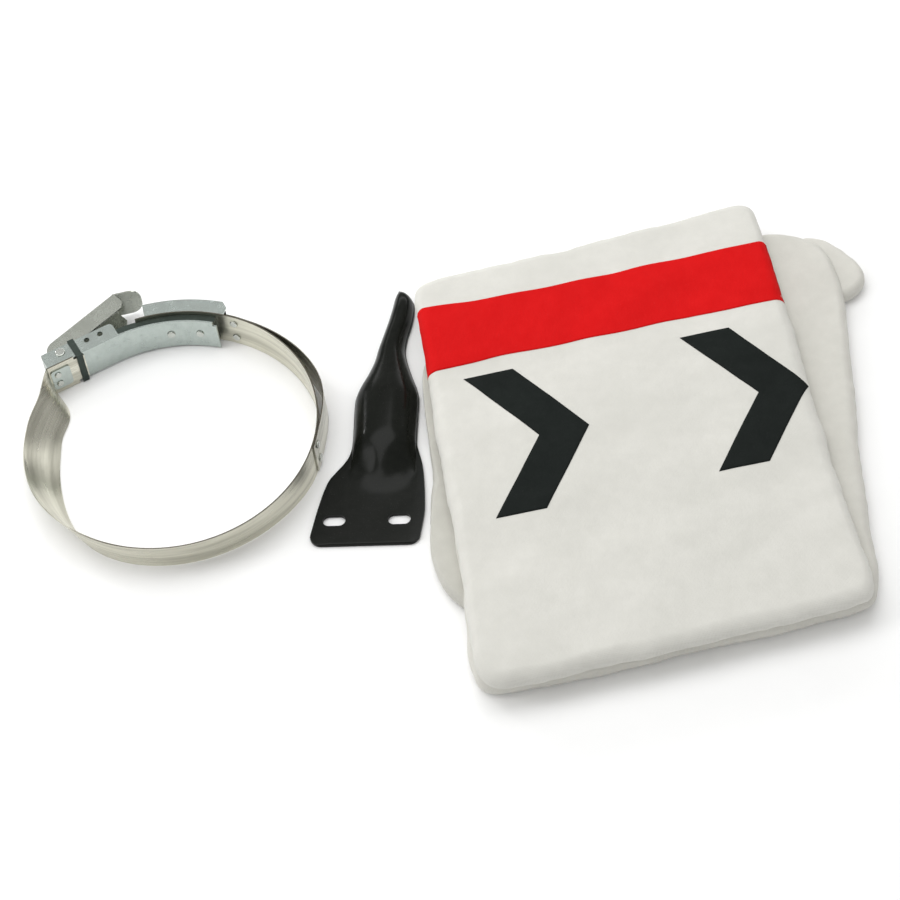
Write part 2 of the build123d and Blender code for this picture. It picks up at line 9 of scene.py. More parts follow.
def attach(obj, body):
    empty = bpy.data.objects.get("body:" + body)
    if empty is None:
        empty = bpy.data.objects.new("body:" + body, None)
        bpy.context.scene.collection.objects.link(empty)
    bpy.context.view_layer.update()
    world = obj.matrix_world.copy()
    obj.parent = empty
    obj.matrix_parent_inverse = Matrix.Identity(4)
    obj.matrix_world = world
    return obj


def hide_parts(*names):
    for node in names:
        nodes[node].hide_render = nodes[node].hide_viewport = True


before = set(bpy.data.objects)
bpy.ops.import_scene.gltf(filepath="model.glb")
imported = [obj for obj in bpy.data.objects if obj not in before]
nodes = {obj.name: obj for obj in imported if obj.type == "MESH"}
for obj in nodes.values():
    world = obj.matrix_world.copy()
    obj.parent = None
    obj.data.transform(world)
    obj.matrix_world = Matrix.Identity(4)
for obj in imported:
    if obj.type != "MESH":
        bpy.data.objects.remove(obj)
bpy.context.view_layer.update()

MM = 0.001
# Where the CAD has the three items, in m
RING_CENTRE = (-0.170015, 0.0128515)
RING_RADIUS = 0.093
SLOTS_MIDDLE = (-0.0463148, -0.0463485)   # between the bracket's two slots
BAG_MIDDLE = (0.118685, -0.00224849)
BAG_TURN = math.radians(12.0)


# ---------------------------------------------------------------- materials

class Nodes:
    """A short way to build one material's node tree."""

    def __init__(self, name):
        self.material = bpy.data.materials.new(name)
        self.material.use_nodes = True
        self.tree = self.material.node_tree
        self.shader = self.tree.nodes["Principled BSDF"]

    def node(self, kind, **sockets):
        made = self.tree.nodes.new("ShaderNode" + kind)
        for key, value in sockets.items():
            made.inputs[key.replace("_", " ")].default_value = value
        return made

    def link(self, out, into):
        self.tree.links.new(out, into)

    def math(self, operation, a, b=None):
        made = self.node("Math")
        made.operation = operation
        for slot, value in enumerate((a, b)):
            if value is None:
                continue
            if isinstance(value, (int, float)):
                made.inputs[slot].default_value = value
            else:
                self.link(value, made.inputs[slot])
        return made.outputs[0]

    def place(self):
        """Where a point is, in the object's own coordinates."""
        return self.node("TexCoord").outputs["Object"]

    def mapped(self, scale, turn=0.0):
        mapping = self.node("Mapping", Scale=scale, Rotation=(0, 0, turn))
        self.link(self.place(), mapping.inputs["Vector"])
        return mapping.outputs[0]

    def split(self, vector):
        made = self.node("SeparateXYZ")
        self.link(vector, made.inputs[0])
        return made.outputs

    def joined(self, x, y):
        made = self.node("CombineXYZ")
        self.link(x, made.inputs[0])
        self.link(y, made.inputs[1])
        return made.outputs[0]

    def noise(self, vector, scale, detail=3.0, rough=0.55):
        made = self.node("TexNoise", Scale=scale, Detail=detail, Roughness=rough)
        self.link(vector, made.inputs["Vector"])
        return made.outputs[0]

    def above(self, value, low, high):
        """A mask: black up to low, white from high."""
        made = self.node("ValToRGB")
        for element, position, grey in zip(made.color_ramp.elements, (low, high), (0.0, 1.0)):
            element.position = position
            element.color = (grey, grey, grey, 1.0)
        self.link(value, made.inputs[0])
        return made.outputs[0]

    def spread(self, value, low, high, from_low=0.3, from_high=0.7):
        made = self.node("MapRange", From_Min=from_low, From_Max=from_high, To_Min=low, To_Max=high)
        self.link(value, made.inputs["Value"])
        return made.outputs[0]

    def mix(self, factor, a, b):
        made = self.node("Mix")
        made.data_type = "RGBA"
        for key, value in (("Factor", factor), ("A", a), ("B", b)):
            socket = next(s for s in made.inputs if s.name == key and s.enabled)
            if isinstance(value, tuple):
                socket.default_value = (*value, 1.0)
            elif isinstance(value, (int, float)):
                socket.default_value = value
            else:
                self.link(value, socket)
        return next(s for s in made.outputs if s.enabled)

    def bump(self, height, distance, strength=1.0, under=None):
        made = self.node("Bump", Distance=distance, Strength=strength)
        self.link(height, made.inputs["Height"])
        if under is not None:
            self.link(under, made.inputs["Normal"])
        return made.outputs[0]

    def finish(self, **values):
        for key, value in values.items():
            socket = self.shader.inputs[key.replace("_", " ")]
            if hasattr(value, "is_output"):
                self.link(value, socket)
            elif isinstance(value, tuple):
                socket.default_value = (*value, 1.0)
            else:
                socket.default_value = value
        return self.material


def around_ring(n):
    """Fine and broad coordinates along and across the strap; the seam is behind the latch."""
    x, y, z = n.split(n.place())
    x = n.math("SUBTRACT", x, RING_CENTRE[0])
    y = n.math("SUBTRACT", y, RING_CENTRE[1])
    turn = n.math("ARCTAN2", x, n.math("MULTIPLY", y, -1.0))
    along = n.math("MULTIPLY", turn, RING_RADIUS)
    return [n.joined(n.math("MULTIPLY", along, lengthwise), n.math("MULTIPLY", z, crosswise))
            for lengthwise, crosswise in ((22.0, 900.0), (9.0, 170.0))]


def strap_metal(name, colour, dark):
    """Rolled stainless strip: lengthwise grain, soft lengthwise bands of painted reflection, faint
    finger marks, a painted dark top edge.
    """
    n = Nodes(name)
    fine_way, broad_way = around_ring(n)
    grain = n.noise(fine_way, 1.0, 4.0, 0.6)
    bands = n.noise(broad_way, 1.0, 2.0, 0.5)
    cloud = n.noise(n.place(), 38.0, 3.0)
    fine = n.noise(n.place(), 900.0, 2.0)
    tone = n.mix(n.spread(grain, 0.0, 0.55), colour, dark)
    tone = n.mix(n.spread(cloud, 0.0, 0.30), tone, tuple(c * 0.80 for c in colour))
    # Painted reflection: broad darker bands along the strap stand in for the streaks the
    # surroundings throw on the metal.
    tone = n.mix(n.spread(bands, 0.0, 0.75, 0.42, 0.62), tone, tuple(c * 0.78 for c in dark))
    rough = n.math("ADD", n.spread(grain, 0.20, 0.33), n.spread(cloud, 0.0, 0.09))
    # Painted shade: the slit edge on top of the strip is painted dark and made rougher, standing in
    # for the shadow and dark reflection along it.
    facing_up = n.split(n.node("NewGeometry").outputs["True Normal"])[2]
    edge = n.spread(facing_up, 0.0, 0.92, 0.93, 0.98)
    tone = n.mix(edge, tone, (0.055, 0.048, 0.034))
    rough = n.math("ADD", rough, n.math("MULTIPLY", edge, 0.3))
    shape = n.bump(bands, 0.0007, 0.5)
    shape = n.bump(grain, 0.00006, 0.55, shape)
    shape = n.bump(fine, 0.00002, 0.4, shape)
    return n.finish(Base_Color=tone, Metallic=1.0, Roughness=rough, Normal=shape)


def pressed_metal(name, colour, shade, rough):
    """Zinc-plated pressed steel: mottled plating and small scratches."""
    n = Nodes(name)
    cloud = n.noise(n.place(), 160.0, 4.0, 0.65)
    spangle = n.node("TexVoronoi", Scale=520.0)
    n.link(n.place(), spangle.inputs["Vector"])
    scratch = n.noise(n.mapped((240.0, 2600.0, 900.0), math.radians(-34)), 1.0, 2.0)
    tone = n.mix(n.spread(cloud, 0.0, 0.45), colour, shade)
    tone = n.mix(n.spread(spangle.outputs["Distance"], 0.0, 0.10, 0.0, 0.8), tone, shade)
    worn = n.above(scratch, 0.66, 0.74)
    tone = n.mix(n.math("MULTIPLY", worn, 0.07), tone, (0.80, 0.82, 0.80))
    roughness = n.spread(cloud, rough - 0.04, rough + 0.08)
    shape = n.bump(cloud, 0.00005, 0.25)
    shape = n.bump(scratch, 0.00002, 0.35, shape)
    return n.finish(Base_Color=tone, Metallic=1.0, Roughness=roughness, Normal=shape)


def black_paint():
    """Satin black enamel on a stamping: orange peel, dust, rubbed-off specks."""
    n = Nodes("satin_black_paint")
    peel = n.noise(n.place(), 620.0, 2.0)
    waves = n.noise(n.place(), 70.0, 2.0)
    dust = n.noise(n.place(), 240.0, 6.0, 0.7)
    speck = n.above(n.noise(n.place(), 1500.0, 1.0), 0.71, 0.75)
    tone = n.mix(n.spread(dust, 0.0, 0.5), (0.0048, 0.0058, 0.0044), (0.0095, 0.0105, 0.0082))
    tone = n.mix(n.math("MULTIPLY", speck, 0.12), tone, (0.10, 0.10, 0.095))
    rough = n.math("ADD", n.spread(dust, 0.17, 0.27), n.math("MULTIPLY", speck, 0.2))
    shape = n.bump(waves, 0.0004, 0.25)
    shape = n.bump(peel, 0.00004, 0.22, shape)
    return n.finish(Base_Color=tone, Metallic=0.0, Roughness=rough, Normal=shape,
                    Specular_IOR_Level=0.07, Coat_Weight=0.12, Coat_Roughness=0.17)


def weave_height(n):
    """Plain weave in the bag's own directions, threads about 0.8 mm apart."""
    vector = n.mapped((1.0, 1.0, 1.0), -BAG_TURN)
    heights = []
    for direction in ("X", "Y"):
        wave = n.node("TexWave", Scale=392.0, Distortion=0.8, Detail=1.0)
        wave.wave_type = "BANDS"
        wave.bands_direction = direction
        n.link(vector, wave.inputs["Vector"])
        heights.append(wave.outputs["Fac"])
    return n.math("MAXIMUM", *heights)


def cloth(name, light, shade, print_wear=0.0, sheen=0.15, gloss=0.25):
    """Matt woven cloth; a print lets the white threads show through here and there."""
    n = Nodes(name)
    weave = weave_height(n)
    cloud = n.noise(n.place(), 16.0, 3.0)
    mottle = n.noise(n.place(), 130.0, 4.0, 0.6)
    fuzz = n.noise(n.place(), 2600.0, 2.0)
    tone = n.mix(n.spread(cloud, 0.0, 0.8), light, shade)
    tone = n.mix(n.spread(mottle, 0.0, 0.30), tone, tuple(c * 0.93 for c in shade))
    # Painted shade: the gaps between the threads are darkened.
    tone = n.mix(n.math("MULTIPLY", n.spread(weave, 1.0, 0.0, 0.0, 0.6), 0.22), tone,
                 tuple(c * 0.78 for c in shade))
    if print_wear:
        thin = n.above(n.noise(n.place(), 900.0, 3.0, 0.7), 0.64, 0.76)
        tone = n.mix(n.math("MULTIPLY", thin, print_wear), tone, (0.62, 0.60, 0.56))
    rough = n.spread(mottle, 0.80, 0.93)
    shape = n.bump(mottle, 0.0007, 0.35)
    shape = n.bump(weave, 0.00016, 0.55, shape)
    shape = n.bump(fuzz, 0.00005, 0.4, shape)
    return n.finish(Base_Color=tone, Metallic=0.0, Roughness=rough, Normal=shape,
                    Sheen_Weight=sheen, Sheen_Roughness=0.6, Specular_IOR_Level=gloss)


strap_steel = strap_metal("stainless_strap", (0.80, 0.785, 0.675), (0.60, 0.585, 0.49))
outer_steel = strap_metal("stainless_outer_strap", (0.74, 0.73, 0.65), (0.54, 0.53, 0.46))
rail_steel = pressed_metal("zinc_rail", (0.53, 0.585, 0.555), (0.36, 0.41, 0.385), 0.22)
lever_steel = pressed_metal("zinc_lever", (0.50, 0.52, 0.465), (0.31, 0.33, 0.30), 0.24)
hook_steel = pressed_metal("zinc_hook", (0.42, 0.46, 0.43), (0.25, 0.28, 0.26), 0.33)
# Painted shadow: a near-black steel for the tongue spacer and keeper loop stands in for the shade
# in the latch's gaps.
gap_shadow_steel = pressed_metal("painted_gap_shadow", (0.060, 0.075, 0.066), (0.028, 0.036, 0.032), 0.42)
rivet_steel = pressed_metal("plated_rivet", (0.62, 0.64, 0.60), (0.42, 0.44, 0.41), 0.22)
paint = black_paint()
cloth_top = cloth("bag_cloth", (0.715, 0.705, 0.660), (0.630, 0.624, 0.578))
# Painted shade: the lower plies and the mouth cuff get a slightly darker copy of the same cloth.
cloth_lower_shaded = cloth("bag_cloth_lower_painted_shade", (0.690, 0.678, 0.628), (0.600, 0.590, 0.540))
# Painted shade: the side tuck gets a darker copy of the same cloth for the shaded side of the
# packet.
cloth_fold_shaded = cloth("bag_cloth_fold_painted_shade", (0.600, 0.592, 0.540), (0.510, 0.502, 0.455))
red_ink = cloth("red_ink", (0.690, 0.0070, 0.0080), (0.600, 0.0060, 0.0068),
                print_wear=0.035, sheen=0.0, gloss=0.10)
black_ink = cloth("black_ink", (0.0120, 0.0155, 0.0140), (0.0095, 0.0120, 0.0110),
                  print_wear=0.03, sheen=0.0, gloss=0.12)

finishes = {
    "strap_ring": strap_steel,
    "outer_strap": outer_steel,
    "outer_strap_rivets": rivet_steel,
    "latch_rail": rail_steel,
    "tongue_spacer": gap_shadow_steel,
    "keeper_loop": gap_shadow_steel,
    "catch_plate": rail_steel,
    "catch_studs": rivet_steel,
    "rail_saddle": rail_steel,
    "saddle_rivets": rivet_steel,
    "lever_pin": rivet_steel,
    "lever": lever_steel,
    "hook_pin": rivet_steel,
    "draw_hook": hook_steel,
}
for name, material in finishes.items():
    mesh = nodes[name].data
    mesh.materials.clear()
    mesh.materials.append(material)


# ---------------------------------------------------------------- meshes

def shell(shape, upper, lower):
    """Faces over two grids of vertices and round their four sides."""
    high, wide = len(upper), len(upper[0])
    for grid in (upper, lower):
        for i in range(high - 1):
            for j in range(wide - 1):
                shape.faces.new((grid[i][j], grid[i][j + 1], grid[i + 1][j + 1], grid[i + 1][j]))
    for i in range(high - 1):
        for j in (0, wide - 1):
            shape.faces.new((upper[i][j], upper[i + 1][j], lower[i + 1][j], lower[i][j]))
    for j in range(wide - 1):
        for i in (0, high - 1):
            shape.faces.new((upper[i][j], upper[i][j + 1], lower[i][j + 1], lower[i][j]))


def as_object(shape, name):
    bmesh.ops.recalc_face_normals(shape, faces=shape.faces)
    mesh = bpy.data.meshes.new(name)
    shape.to_mesh(mesh)
    shape.free()
    obj = bpy.data.objects.new(name, mesh)
    bpy.context.scene.collection.objects.link(obj)
    return obj


def ready(obj, material, body, replaced):
    obj.data.materials.append(material)
    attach(obj, body)
    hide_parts(replaced)


# ---------------------------------------------------------------- the folded bag

def bag_point(a, b, z):
    """From the bag's own axes, in mm, to the scene."""
    x = (a * math.cos(BAG_TURN) - b * math.sin(BAG_TURN)) * MM + BAG_MIDDLE[0]
    y = (a * math.sin(BAG_TURN) + b * math.cos(BAG_TURN)) * MM + BAG_MIDDLE[1]
    return Vector((x, y, z * MM))


def rounded(points):
    """Cuts the corners of a closed outline, three times over."""
    for _ in range(3):
        cut = []
        for i, here in enumerate(points):
            after = points[(i + 1) % len(points)]
            cut.append(tuple(0.75 * p + 0.25 * q for p, q in zip(here, after)))
            cut.append(tuple(0.25 * p + 0.75 * q for p, q in zip(here, after)))
        points = cut
    return points


def even(points, count):
    """The same outline as count points an equal way apart."""
    vectors = [Vector(p) for p in points]
    steps = [(vectors[(i + 1) % len(vectors)] - v).length for i, v in enumerate(vectors)]
    total = sum(steps)
    out = []
    i, done = 0, 0.0
    for k in range(count):
        target = total * k / count
        while done + steps[i] < target:
            done += steps[i]
            i += 1
        share = (target - done) / steps[i]
        out.append(vectors[i].lerp(vectors[(i + 1) % len(vectors)], share))
    return out


def crease(a, b, through, heading, width, depth):
    """A soft valley along a line in the bag's axes."""
    turn = math.radians(heading)
    away = -(a - through[0]) * math.sin(turn) + (b - through[1]) * math.cos(turn)
    return -depth * math.exp(-((away / width) ** 2))


def wrinkles(a, b, seed, size):
    """How far the cloth's upper face stands from flat, in mm."""
    slow = noise.noise(Vector((a / 95.0 + seed, b / 80.0, seed * 1.7)))
    long = noise.noise(Vector(((a + 0.35 * b) / 70.0, (b - 0.35 * a) / 22.0 + seed, seed)))
    small = noise.noise(Vector((a / 17.0, b / 14.0 + seed, seed * 0.6)))
    return size * (1.5 * slow + 0.8 * long + 0.28 * small)


def soft_slab(name, outline, low, high, round_mm, seed, size, wave, sag=0.0, creases=()):
    """A closed packet of cloth plies: full round edges, a wrinkled top, a flat underside.

    size is how deep the wrinkles are, wave how far the rim wanders, sag how far the middle swells.
    """
    count = 420
    rim = even(rounded(outline), count)
    middle = sum(rim, Vector((0, 0))) / count
    waved = []
    for i, p in enumerate(rim):
        out = (p - middle).normalized()
        shift = wave * noise.noise(Vector((p.x / 26.0, p.y / 26.0, seed + 3.0)))
        shift += wave * 0.35 * noise.noise(Vector((p.x / 8.0, p.y / 8.0, seed + 9.0)))
        waved.append(p + out * shift)
    half = (high - low) / 2
    # Steps round the edge, then rings on to the middle.
    edge = [math.radians(d) for d in (0, 12, 24, 36, 48, 60, 72, 82, 90)]
    inner = [0.04, 0.08, 0.13, 0.19, 0.26, 0.34, 0.43, 0.52, 0.62, 0.72, 0.82, 0.91]
    inner = sorted(set(inner + [i / 46 for i in range(1, 46)]))

    def station(point):
        """Points from the rim over the edge and in to the middle: (place, share of the height)."""
        inward = (middle - point).normalized()
        out = []
        for angle in edge:
            step = round_mm * (1 - math.cos(angle))
            out.append((point + inward * step, math.sin(angle)))
        start = out[-1][0]
        for share in inner:
            out.append((start.lerp(middle, share), 1.0))
        return out

    shape = bmesh.new()
    sides = []
    for up in (True, False):
        columns = []
        for point in waved:
            column = []
            for p, lift in station(point):
                if up:
                    z = low + half + half * lift
                    depth = (middle - p).length / max((middle - point).length, 1e-6)
                    z += lift * wrinkles(p.x, p.y, seed, size)
                    z += lift * sag * (1 - depth ** 3)
                    for line in creases:
                        z += lift * crease(p.x, p.y, *line)
                else:
                    z = low + half - half * lift
                column.append((p.x, p.y, z))
            columns.append(column)
        sides.append(columns)
    rim_loop = [shape.verts.new(bag_point(*column[0])) for column in sides[0]]
    for columns, up in zip(sides, (True, False)):
        loops = [rim_loop]
        for k in range(1, len(columns[0])):
            loops.append([shape.verts.new(bag_point(*column[k])) for column in columns])
        for outer, inside in zip(loops, loops[1:]):
            for i in range(count):
                j = (i + 1) % count
                face = (outer[i], outer[j], inside[j], inside[i])
                shape.faces.new(face if up else face[::-1])
        z = sum(v.co.z for v in loops[-1]) / count / MM
        tip = shape.verts.new(bag_point(middle.x, middle.y, z))
        for i in range(count):
            j = (i + 1) % count
            face = (loops[-1][i], loops[-1][j], tip)
            shape.faces.new(face if up else face[::-1])
    obj = as_object(shape, name)
    obj.data.shade_smooth()
    return obj


# Outlines of the four stretches of the packet, in mm in the bag's own axes.
top_outline = [
    (-114, 146), (-104, 152), (-55, 154), (0, 157), (58, 161), (100, 165), (110, 161), (112, 150),
    (112, 60), (109, -40), (111, -120), (111, -146), (100, -153), (0, -157), (-104, -161),
    (-120, -158), (-126, -144), (-124, -100), (-121, -35), (-118, 40), (-115, 110),
]
low_outline = [
    (-112, 136), (-96, 144), (96, 148), (119, 146), (141, 137), (152, 122), (152, 85), (135, -6),
    (121, -88), (115, -140), (100, -150), (-108, -156), (-126, -152), (-129, -136), (-125, -97),
    (-121, -30), (-116, 60),
]
cuff_outline = [
    (132, 142), (150, 136), (161, 123), (169, 106), (168, 94), (158, 86), (146, 84), (136, 100),
]
fold_outline = [
    (-110, 104), (-118, 96), (-122, 64), (-124, 30), (-127, 4), (-133, -22), (-138, -50),
    (-134, -74), (-123, -92), (-108, -96), (-106, -30), (-106, 40),
]

# Each crease: a point on it, its heading in degrees, its width and its depth.
top_creases = (((0, -62), 3.0, 16.0, 0.9), ((-30, 72), 2.0, 10.0, 0.5), ((40, 10), 84.0, 14.0, 0.5))
bag_top = soft_slab("bag_top_folds", top_outline, low=13.4, high=27.6, round_mm=8.5, seed=4.2,
                    size=1.0, wave=2.2, sag=1.2, creases=top_creases)
bag_low = soft_slab("bag_lower_folds", low_outline, low=0.0, high=14.6, round_mm=7.0, seed=11.3,
                    size=0.7, wave=1.8, sag=0.4)
bag_cuff = soft_slab("bag_mouth", cuff_outline, low=0.0, high=11.0, round_mm=4.6, seed=17.9,
                     size=0.6, wave=1.2)
bag_fold = soft_slab("bag_side_tuck", fold_outline, low=0.0, high=11.5, round_mm=5.0, seed=23.1,
                     size=0.6, wave=1.6)
ready(bag_top, cloth_top, "bag", "bag_top_layers")
ready(bag_low, cloth_lower_shaded, "bag", "bag_lower_layers")
ready(bag_cuff, cloth_lower_shaded, "bag", "bag_mouth_cuff")
ready(bag_fold, cloth_fold_shaded, "bag", "bag_side_fold")


# ---------------------------------------------------------------- the print

INK_TOP, INK_UNDER = 0.28 * MM, -0.12 * MM      # from the cloth's surface
ABOVE_BAG, BESIDE_BAG = 60, 21                  # heights to look for the cloth from, mm

top_tree = BVHTree.FromPolygons([v.co.copy() for v in bag_top.data.vertices],
                                [tuple(f.vertices) for f in bag_top.data.polygons])


def ink(name, rows, material, node):
    """A thin layer of ink that follows the cloth. rows is a grid of points (a, b), in mm."""
    shape = bmesh.new()
    layers = []
    for offset in (INK_TOP, INK_UNDER):
        grid = []
        for row in rows:
            line = []
            for a, b in row:
                start = bag_point(a, b, ABOVE_BAG)
                hit, normal, _, _ = top_tree.ray_cast(start, Vector((0, 0, -1)))
                if hit is None or normal.z < 0.05:
                    hit, normal, _, _ = top_tree.find_nearest(bag_point(a, b, BESIDE_BAG))
                line.append(shape.verts.new(hit + normal * offset))
            grid.append(line)
        layers.append(grid)
    shell(shape, *layers)
    obj = as_object(shape, name)
    obj.data.shade_smooth()
    ready(obj, material, "bag", node)


def share(count):
    return [i / (count - 1) for i in range(count)]


def edge_wave(u, seed):
    """How far the band's edge strays, in mm, at a share u of its length."""
    return 1.6 * noise.noise(Vector((u * 230 / 34.0, seed, 0.0)))


BAND_LOW, BAND_HIGH = 74.5, 124.0               # the band's edges, b
BAND_LEFT, BAND_RIGHT = -118.2, 111.0           # and its ends, a; the left end leans

band_rows = []
for v in share(34):
    row = []
    for u in share(150):
        low = BAND_LOW + 3.0 * u ** 0.7 + edge_wave(u, 2.0)
        high = BAND_HIGH + 3.0 * (1 - u) ** 6 + 2.5 * u ** 3 + edge_wave(u, 5.0)
        b = low + (high - low) * v
        left = BAND_LEFT + 2.0 * (b - 80) / 53
        row.append((left + (BAND_RIGHT - left) * u, b))
    band_rows.append(row)
ink("printed_band", band_rows, red_ink, "print_band")


def chevron_rows(left, width, stroke, top, bottom):
    """An arrowhead that points along +a, as one grid bent at its middle."""
    rows = []
    for u in share(61):
        reach = (width - stroke) * (1 - abs(2 * u - 1))
        b = top + (bottom - top) * u
        rows.append([(left + reach + stroke * v, b) for v in share(19)])
    return rows


left_mark = chevron_rows(left=-95.0, width=68.0, stroke=31.0, top=64.0, bottom=-46.0)
right_mark = chevron_rows(left=41.0, width=68.0, stroke=31.0, top=62.0, bottom=-45.0)
ink("printed_mark_left", left_mark, black_ink, "print_mark_left")
ink("printed_mark_right", right_mark, black_ink, "print_mark_right")


# ---------------------------------------------------------------- the hanger bracket

SHEET = 2.5                               # thickness, mm
PLATE_END, PLATE_CORNER = -11, 7          # the corner arcs' centres, and their radius
RISE_START, RISE_LENGTH = 30, 30          # the soft swell turns into a full arch over this
NECK_START = 58                           # from here the neck takes the whole width
SOLID_START = 166                         # the neck is closed from here to the nose
TIP_START, TIP_END = 167.0, 178.4         # the blunt nose leans to its left corner
TIP_LEAN, TIP_WIDTH = 2.6, 3.0
NECK_WALL, NECK_ROOF = 2.2, 1.2           # least thickness at the sides and over the hollow
SLOT_LENGTH, SLOT_WIDTH, SLOT_SPACING = 14, 8, 40

# Each row of these tables is y, then values at that y, in mm from the slots' middle.
left_edge = [
    (-11, -34.3), (10, -30.6), (23, -27.6), (31, -24.9), (37, -20.9), (43, -16.6), (49, -13.6),
    (58, -12.0), (92, -12.0), (100, -10.2), (111, -5.4), (121, -1.9), (131, 0.1), (142, 2.7),
    (153, 5.3), (163, 7.3), (168, 8.2),
]
right_edge = [
    (-11, 33.4), (4, 35.1), (12, 35.2), (30, 34.0), (42, 32.4), (50, 30.3), (58, 28.5), (92, 28.4),
    (100, 26.9), (111, 23.2), (121, 20.1), (131, 18.2), (142, 19.0), (153, 21.2), (163, 22.4),
    (168, 22.4),
]
crown_height = [
    (-20, 2.5), (19, 2.5), (26, 3.3), (33, 6.0), (41, 9.9), (49, 13.0), (57, 14.6), (66, 15.0),
    (92, 14.9), (111, 13.4), (131, 12.2), (153, 11.4), (168, 11.0), (175, 9.0), (178.4, 6.4),
]
neck_sides = [          # the formed neck's left and right feet in the plate
    (-20, -8.0, 24.0), (18, -9.0, 25.0), (30, -11.2, 27.2), (42, -11.8, 28.0), (58, -11.6, 28.1),
]


def along(table, y, column=1):
    """A smooth curve through a table's points."""
    if y <= table[0][0]:
        return table[0][column]
    if y >= table[-1][0]:
        return table[-1][column]
    i = max(k for k in range(len(table)) if table[k][0] <= y)

    def slope(k):
        low, high = max(k - 1, 0), min(k + 1, len(table) - 1)
        return (table[high][column] - table[low][column]) / (table[high][0] - table[low][0])

    (y0, v0), (y1, v1) = ((table[k][0], table[k][column]) for k in (i, i + 1))
    gap = y1 - y0
    t = (y - y0) / gap
    return ((2 * t ** 3 - 3 * t ** 2 + 1) * v0 + (t ** 3 - 2 * t ** 2 + t) * gap * slope(i)
            + (3 * t ** 2 - 2 * t ** 3) * v1 + (t ** 3 - t ** 2) * gap * slope(i + 1))


def arch(s, y):
    """The neck's height across its width, 0 to 1: a soft swell at the plate, a full arch above."""
    full = max(0.0, 1 - abs(s) ** 2.5) ** 0.62
    soft = 0.5 + 0.5 * math.cos(math.pi * min(1.0, abs(s)))
    t = min(1.0, max(0.0, (y - RISE_START) / RISE_LENGTH))
    return soft + (full - soft) * t * t * (3 - 2 * t)


def bracket_row(y, end_drop):
    """One row across the stamping: (x, top, bottom) from its left rim to its right rim."""
    left, right = along(left_edge, y), along(right_edge, y)
    if y < PLATE_END:
        cut = PLATE_CORNER - math.sqrt(max(0.0, PLATE_CORNER ** 2 - (y - PLATE_END) ** 2))
        left, right = left + cut, right - cut
    if y > TIP_START:
        t = min(1.0, (y - TIP_START) / (TIP_END - TIP_START))
        left += TIP_LEAN * t * t
        right = left + TIP_WIDTH + (right - left - TIP_WIDTH) * (1 - t ** 2.6) ** 0.7
    foot_left, foot_right = along(neck_sides, y, 1), along(neck_sides, y, 2)
    if y > NECK_START:
        foot_left, foot_right = left + 0.5, right - 0.5
    foot_left, foot_right = max(foot_left, left + 0.5), min(foot_right, right - 0.5)
    centre, half = (foot_left + foot_right) / 2, (foot_right - foot_left) / 2
    height = along(crown_height, y) - SHEET
    row = [(left, 1.8, 0.4), (left + 0.2, 2.3, 0.05)]
    row += [(left + (foot_left - left) * k, SHEET, 0.0) for k in (0.45, 0.75)]
    for k in range(41):
        s = math.sin(math.pi / 2 * (k / 20 - 1))
        x = centre + half * s
        inner = max(half - NECK_WALL, 0.1)
        hollow = 0.0
        if y <= SOLID_START and abs(x - centre) < inner:
            hollow = height * arch((x - centre) / inner, y)
        top = SHEET + height * arch(s, y)
        row.append((x, top, min(hollow, top - NECK_ROOF)))
    row += [(right + (foot_right - right) * k, SHEET, 0.0) for k in (0.75, 0.45)]
    row += [(right - 0.2, 2.3, 0.05), (right, 1.8, 0.4)]
    return [(x, max(top - end_drop, bottom + 0.3), bottom) for x, top, bottom in row]


def bracket_point(x, y, z):
    """From mm off the slots' middle to the scene."""
    return (x * MM + SLOTS_MIDDLE[0], y * MM + SLOTS_MIDDLE[1], z * MM)


def slot_cutter(x):
    """A solid in the shape of one slot, taller than the sheet."""
    count, radius = 64, SLOT_WIDTH / 2
    shape = bmesh.new()
    rings = []
    for z in (-3.0, 6.0):
        ring = []
        for k in range(count):
            turn = 2 * math.pi * (k + 0.5) / count
            shift = math.copysign(SLOT_LENGTH / 2 - radius, math.cos(turn))
            ring.append(shape.verts.new(bracket_point(
                x + shift + radius * math.cos(turn), radius * math.sin(turn), z)))
        rings.append(ring)
    shape.faces.new(rings[0][::-1])
    shape.faces.new(rings[1])
    for k in range(count):
        j = (k + 1) % count
        shape.faces.new((rings[0][k], rings[0][j], rings[1][j], rings[1][k]))
    return as_object(shape, "slot_cutter")


def hanger_bracket():
    """The stamping: rows close together at both ends, with a rolled edge at the plate's end."""
    ys = [-18.0, -17.93, -17.7, -17.3, -16.7, -15.9, -14.8, -13.4, -11.8]
    ys += [-10 + 1.5 * k for k in range(119)]
    ys += [168.5, 170, 171.5, 173, 174.4, 175.6, 176.6, 177.3, 177.8, 178.1, 178.3, 178.4]
    drops = {0: 0.7, 1: 0.35, 2: 0.12}
    shape = bmesh.new()
    tops, bottoms = [], []
    for i, y in enumerate(ys):
        row = bracket_row(y, drops.get(i, 0.0))
        for line, column in ((tops, 1), (bottoms, 2)):
            line.append([shape.verts.new(bracket_point(p[0], y, p[column])) for p in row])
    shell(shape, tops, bottoms)
    obj = as_object(shape, "bracket_stamping")
    cutters = [slot_cutter(side * SLOT_SPACING / 2) for side in (-1, 1)]
    for cutter in cutters:
        cut = obj.modifiers.new("slot", "BOOLEAN")
        cut.operation = "DIFFERENCE"
        cut.solver = "EXACT"
        cut.object = cutter
    applied = obj.evaluated_get(bpy.context.evaluated_depsgraph_get())
    cut_mesh = bpy.data.meshes.new_from_object(applied)
    obj.modifiers.clear()
    obj.data = cut_mesh
    for cutter in cutters:
        bpy.data.objects.remove(cutter)
    cut_mesh.shade_smooth()
    cut_mesh.set_sharp_from_angle(angle=math.radians(38))
    cut_mesh.materials.clear()
    ready(obj, paint, "bracket", "hanger_bracket")


hanger_bracket()


